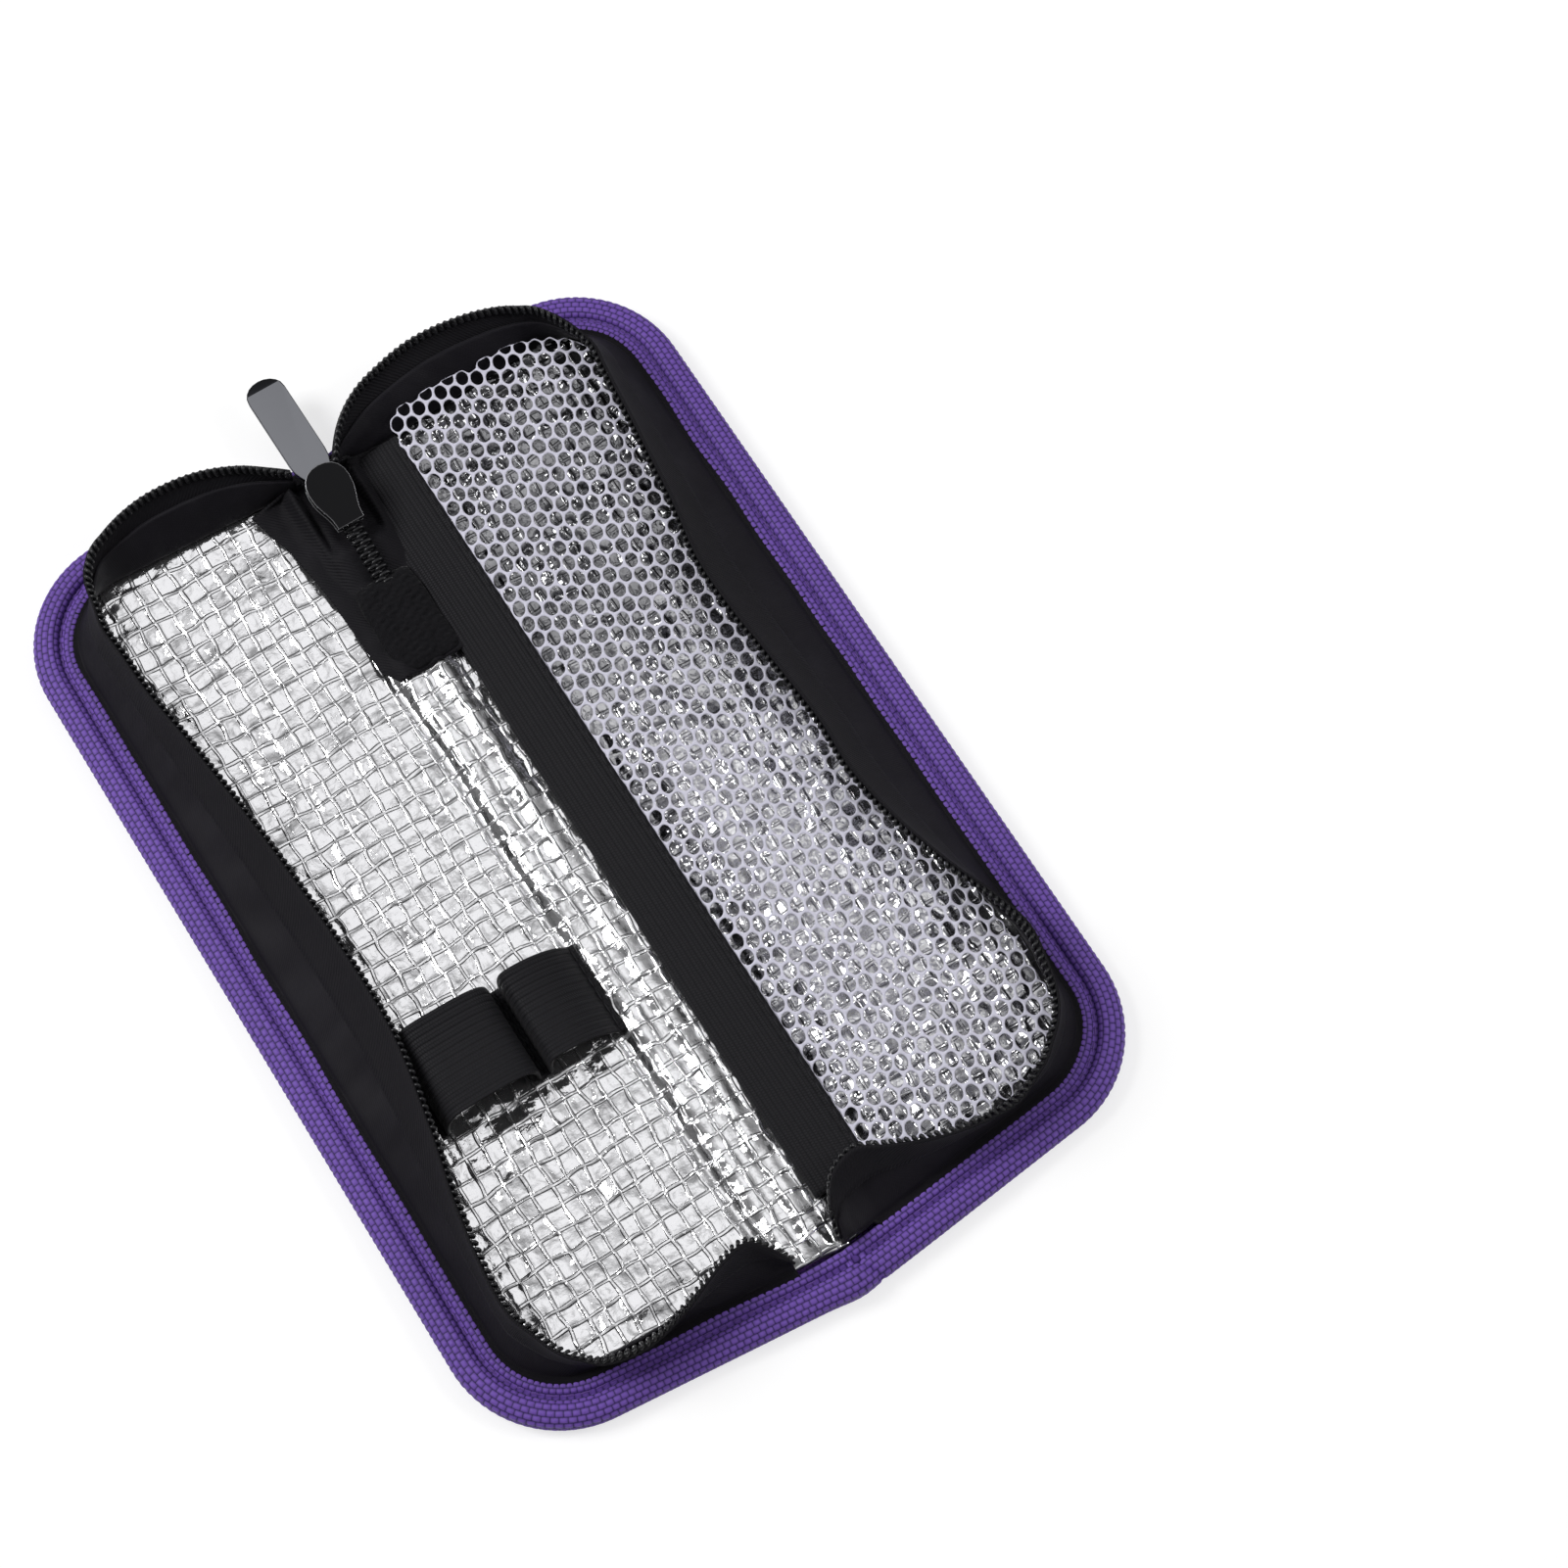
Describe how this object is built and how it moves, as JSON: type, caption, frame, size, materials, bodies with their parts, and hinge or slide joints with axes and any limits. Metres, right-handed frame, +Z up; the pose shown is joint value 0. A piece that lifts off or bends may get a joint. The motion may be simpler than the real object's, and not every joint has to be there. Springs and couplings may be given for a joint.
{
  "type": "insulin cooling case",
  "caption": "Soft zippered cooling case, open flat: foil-lined padded halves with bound edges, leaning zipper walls, pen loops, a net pocket with elastic mouth and a slider with its pull.",
  "frame": {"origin": "the middle of the spine's underside, on the surface the open case lies on", "axes": "+X from the spine to the half with the net pocket, +Y along the spine to the end with the zipper slider, +Z up out of the open case"},
  "size_m": [0.146, 0.2229, 0.0164],
  "materials": {
    "cover_fabric": "purple woven Oxford cloth",
    "binding_webbing": "purple woven webbing, folded over the edge",
    "foam": "white padding, hidden between cover and liner",
    "foil": "silver grid-woven foil lining, mirror-like and crinkled",
    "gusset_fabric": "black satin nylon",
    "zipper_tape": "black woven zipper tape",
    "zipper_coil": "black nylon coil",
    "net": "pale lilac hexagonal net",
    "elastic": "black ribbed elastic",
    "tab_fabric": "black velvety cloth",
    "slider_metal": "black enamel",
    "pull_metal": "dark gunmetal"
  },
  "bodies": {
    "base": {"base_cover": "cover_fabric", "base_foam": "foam", "base_foil_liner": "foil", "base_binding": "binding_webbing", "base_gusset": "gusset_fabric", "base_zipper_tape": "zipper_tape", "base_zipper_coil": "zipper_coil", "pen_loop_outer": "elastic", "pen_loop_inner": "elastic"},
    "spine": {"spine_cover": "cover_fabric", "spine_foam": "foam", "spine_foil_liner": "foil", "spine_binding_near": "binding_webbing", "spine_binding_far": "binding_webbing", "end_tab": "tab_fabric", "joined_zipper_tape": "zipper_tape", "joined_zipper_coil": "zipper_coil", "pocket_elastic": "elastic"},
    "lid": {"lid_cover": "cover_fabric", "lid_foam": "foam", "lid_foil_liner": "foil", "lid_binding": "binding_webbing", "lid_gusset": "gusset_fabric", "lid_zipper_tape": "zipper_tape", "lid_zipper_coil": "zipper_coil", "mesh_pocket": "net"},
    "slider": {"slider_body": "slider_metal", "slider_crown": "slider_metal"},
    "pull": {"slider_pull": "pull_metal"}
  },
  "joints": [
    {"name": "spine_fold", "type": "hinge", "parent": "base", "child": "spine", "pos_m": [-0.009, 0, 0.0115], "axis": [0, -1, 0], "range_deg": [0, 90]},
    {"name": "lid_fold", "type": "hinge", "parent": "spine", "child": "lid", "pos_m": [0.009, 0, 0.0115], "axis": [0, -1, 0], "range_deg": [0, 90]},
    {"name": "slider_travel", "type": "slide", "parent": "spine", "child": "slider", "axis": [0, -0.9613, -0.2756], "range_m": [0, 0.0075]},
    {"name": "pull_swing", "type": "hinge", "parent": "slider", "child": "pull", "pos_m": [-0.0042, 0.08968, 0.00948], "axis": [1, 0, 0], "range_deg": [0, 14]}
  ],
  "couplings": [
    {"joint": "lid_fold", "follows": "spine_fold", "ratio": 1}
  ]
}
